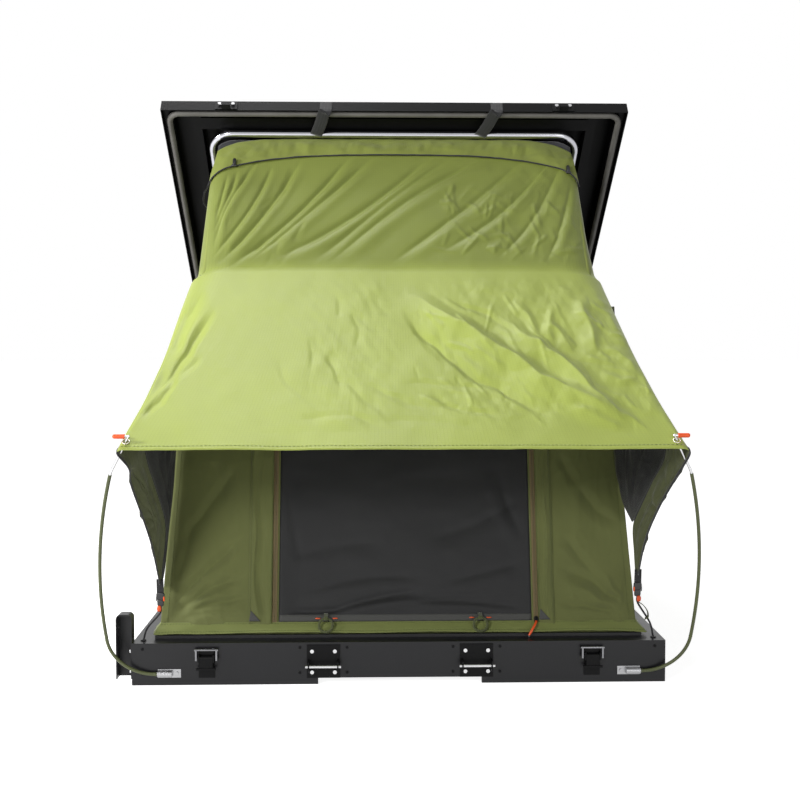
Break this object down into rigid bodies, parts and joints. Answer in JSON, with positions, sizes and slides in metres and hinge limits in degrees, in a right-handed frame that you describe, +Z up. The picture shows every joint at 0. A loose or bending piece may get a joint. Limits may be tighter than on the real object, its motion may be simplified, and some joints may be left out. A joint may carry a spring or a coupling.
{
  "type": "roof top tent",
  "caption": "Hard-shell wedge roof top tent: base tray, tilting lid with gas struts, folding ridge bow, canvas body, fly with a pole-held awning, front draw latches.",
  "frame": {"origin": "centre of the four rack bolt holes, on the plane of the rails' undersides", "axes": "+Z up, +Y from the open front end towards the lid hinge, +X to the right seen from the front"},
  "size_m": [1.3796, 2.4563, 1.4714],
  "materials": {
    "shell": "fine satin powder coat on folded sheet",
    "floor": "coated board",
    "aluminium": "satin",
    "black_plastic": "matte",
    "bed_cloth": "woven cover",
    "dark_steel": "black coated",
    "steel": "bright",
    "pole": "sleeved rod",
    "orange": "moulded",
    "dark_tube": "black coated tube",
    "seal": "matte",
    "webbing": "woven tape",
    "strut": "satin",
    "rod": "polished",
    "canvas": "heavy canvas",
    "mesh": "fine black mesh",
    "zip": "coil tape",
    "fly_cloth": "coated ripstop",
    "brass": "plated"
  },
  "bodies": {
    "base": {"floor_panel": "floor", "front_panel": "shell", "rear_panel": "shell", "left_panel": "shell", "right_panel": "shell", "lower_rails": "shell", "mount_rails": "aluminium", "tent_track": "black_plastic", "mattress": "bed_cloth", "panel_rivets": "dark_steel", "ladder_brackets": "dark_steel", "ladder_rods": "steel", "ladder_bolts": "steel", "side_brackets": "shell", "bracket_bolts": "steel", "latch_plates": "dark_steel", "pole_sockets": "steel", "hinge_base": "dark_steel", "hinge_pins": "steel", "strut_brackets": "dark_steel", "bow_brackets": "dark_steel", "front_wall": "canvas", "door_panel": "mesh", "door_zips": "zip", "door_ties": "fly_cloth", "wall_skirt": "fly_cloth", "left_wall": "canvas", "right_wall": "canvas", "fly_straps": "webbing"},
    "lid": {"hinge_lid": "dark_steel", "lid_shell": "shell", "lid_beams": "dark_tube", "lid_crossbars": "dark_tube", "lid_seal": "seal", "top_hoop": "aluminium", "keepers": "dark_steel", "keeper_bolts": "steel", "pull_straps": "webbing", "strut_studs": "dark_steel", "roof_wall": "canvas", "fly": "fly_cloth", "left_wing": "fly_cloth", "right_wing": "fly_cloth", "wing_mesh": "mesh", "grommets": "brass"},
    "bow_lower": {"bow_legs": "aluminium"},
    "bow_upper": {"bow_hoop": "aluminium"},
    "strut_cylinders": {"strut_cylinders": "strut"},
    "strut_rods": {"strut_rods": "rod"},
    "left_lever": {"left_lever": "dark_steel"},
    "right_lever": {"right_lever": "dark_steel"},
    "left_bail": {"left_bail": "steel"},
    "right_bail": {"right_bail": "steel"},
    "zip_slider": {"zip_slider": "steel"},
    "left_pole": {"left_pole": "pole", "left_hook": "steel", "left_cap": "orange"},
    "right_pole": {"right_pole": "pole", "right_hook": "steel", "right_cap": "orange"}
  },
  "joints": [
    {"name": "lid_hinge", "type": "hinge", "parent": "base", "child": "lid", "pos_m": [0, 1.099, 0.1], "axis": [1, 0, 0], "range_deg": [0, 37.7], "stiffness_Nm_per_rad": 150, "springref_deg": -160.43, "deforming": ["front_wall", "door_panel", "door_zips", "door_ties", "wall_skirt", "left_wall", "right_wall", "roof_wall", "fly", "left_wing", "right_wing", "wing_mesh", "fly_straps", "grommets", "pull_straps", "zip_slider"]},
    {"name": "bow_lower_fold", "type": "hinge", "parent": "base", "child": "bow_lower", "pos_m": [0, -0.985, 0.084], "axis": [1, 0, 0], "range_deg": [-66.5, 0]},
    {"name": "bow_upper_fold", "type": "hinge", "parent": "bow_lower", "child": "bow_upper", "pos_m": [0, -0.78163, 0.54077], "axis": [1, 0, 0], "range_deg": [0, 153.5]},
    {"name": "strut_swing", "type": "hinge", "parent": "base", "child": "strut_cylinders", "pos_m": [0, 0.879, 0.112], "axis": [1, 0, 0], "range_deg": [0, 49.4]},
    {"name": "strut_slide", "type": "slide", "parent": "strut_cylinders", "child": "strut_rods", "axis": [0, -0.6587, 0.7524], "range_m": [-0.05291, 0]},
    {"name": "left_lever_swing", "type": "hinge", "parent": "base", "child": "left_lever", "pos_m": [-0.458, -1.1, 0.066], "axis": [-1, 0, 0], "range_deg": [0, 90]},
    {"name": "left_bail_swing", "type": "hinge", "parent": "base", "child": "left_bail", "pos_m": [-0.458, -1.1, 0.066], "axis": [1, 0, 0], "range_deg": [0, 35]},
    {"name": "right_lever_swing", "type": "hinge", "parent": "base", "child": "right_lever", "pos_m": [0.458, -1.1, 0.066], "axis": [-1, 0, 0], "range_deg": [0, 90]},
    {"name": "right_bail_swing", "type": "hinge", "parent": "base", "child": "right_bail", "pos_m": [0.458, -1.1, 0.066], "axis": [1, 0, 0], "range_deg": [0, 35]},
    {"name": "zip_slide", "type": "slide", "parent": "base", "child": "zip_slider", "axis": [0, 0.2374, 0.9714], "range_m": [0, 0.6]},
    {"name": "left_pole_swing", "type": "hinge", "parent": "base", "child": "left_pole", "pos_m": [-0.573, -1.099, 0.029], "axis": [1, 0, 0], "range_deg": [0, 60], "deforming": ["fly", "grommets"]},
    {"name": "right_pole_swing", "type": "hinge", "parent": "base", "child": "right_pole", "pos_m": [0.573, -1.099, 0.029], "axis": [1, 0, 0], "range_deg": [0, 60], "deforming": ["fly", "grommets"]}
  ],
  "couplings": [
    {"joint": "bow_lower_fold", "follows": "lid_hinge", "ratio": -1.7507},
    {"joint": "bow_upper_fold", "follows": "lid_hinge", "ratio": 4.0584},
    {"joint": "strut_swing", "follows": "lid_hinge", "ratio": 1.2944},
    {"joint": "strut_slide", "follows": "lid_hinge", "m_per_rad": -0.078888}
  ]
}
